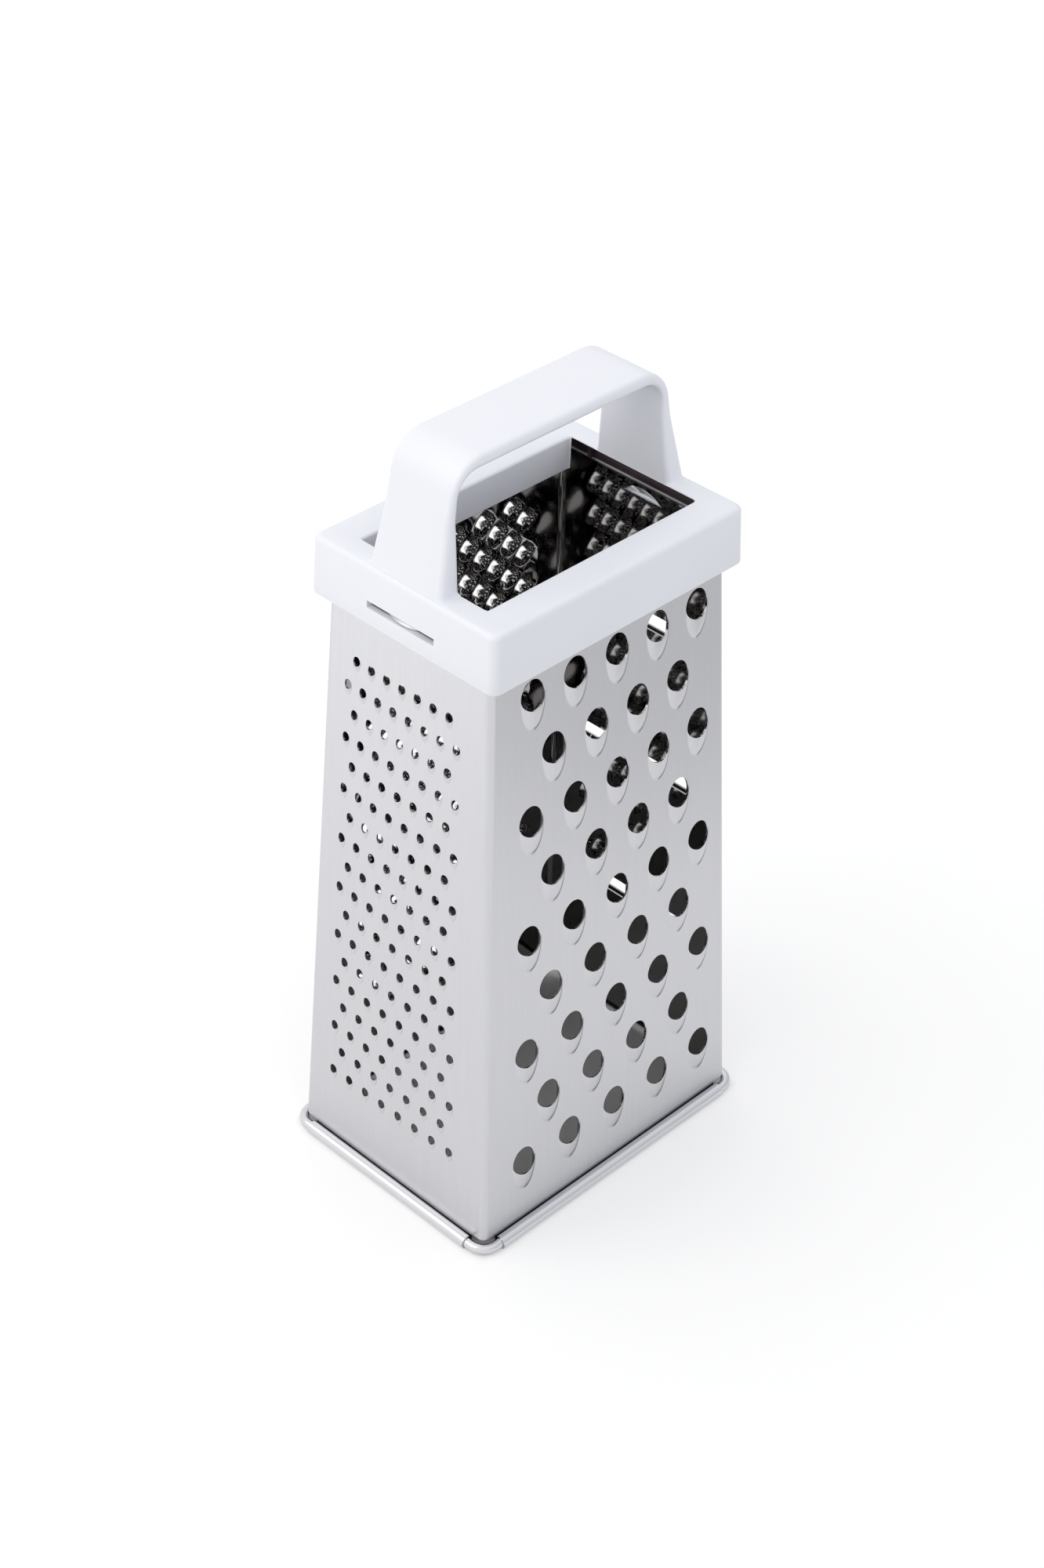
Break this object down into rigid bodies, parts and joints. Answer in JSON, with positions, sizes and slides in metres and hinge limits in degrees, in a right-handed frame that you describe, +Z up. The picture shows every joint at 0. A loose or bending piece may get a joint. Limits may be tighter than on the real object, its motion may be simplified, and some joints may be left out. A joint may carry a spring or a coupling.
{
  "type": "box grater",
  "caption": "Four-sided steel box grater with coarse, fine, star and slicing faces, a rolled wire base ring and a white moulded collar with a strap handle.",
  "frame": {"origin": "on the floor under the middle of the base ring", "axes": "+Z up through the handle, +X along the wide faces towards the slicing face, +Y towards the star face; the coarse face looks to -Y and the fine face to -X"},
  "size_m": [0.1112, 0.0842, 0.2435],
  "materials": {
    "sheet_steel": "satin stainless sheet, smooth and dark inside",
    "wire_steel": "bright drawn stainless wire",
    "white_plastic": "white moulded plastic with a soft sheen"
  },
  "bodies": {
    "root": {"coarse_face": "sheet_steel", "fine_face": "sheet_steel", "star_face": "sheet_steel", "slicing_face": "sheet_steel", "fold_coarse_fine": "sheet_steel", "fold_coarse_slicing": "sheet_steel", "fold_star_slicing": "sheet_steel", "fold_star_fine": "sheet_steel", "seam_flap": "sheet_steel", "hem_coarse": "sheet_steel", "hem_fine": "sheet_steel", "hem_star": "sheet_steel", "hem_slicing": "sheet_steel", "base_wire": "wire_steel", "collar": "white_plastic", "handle": "white_plastic"}
  },
  "joints": []
}
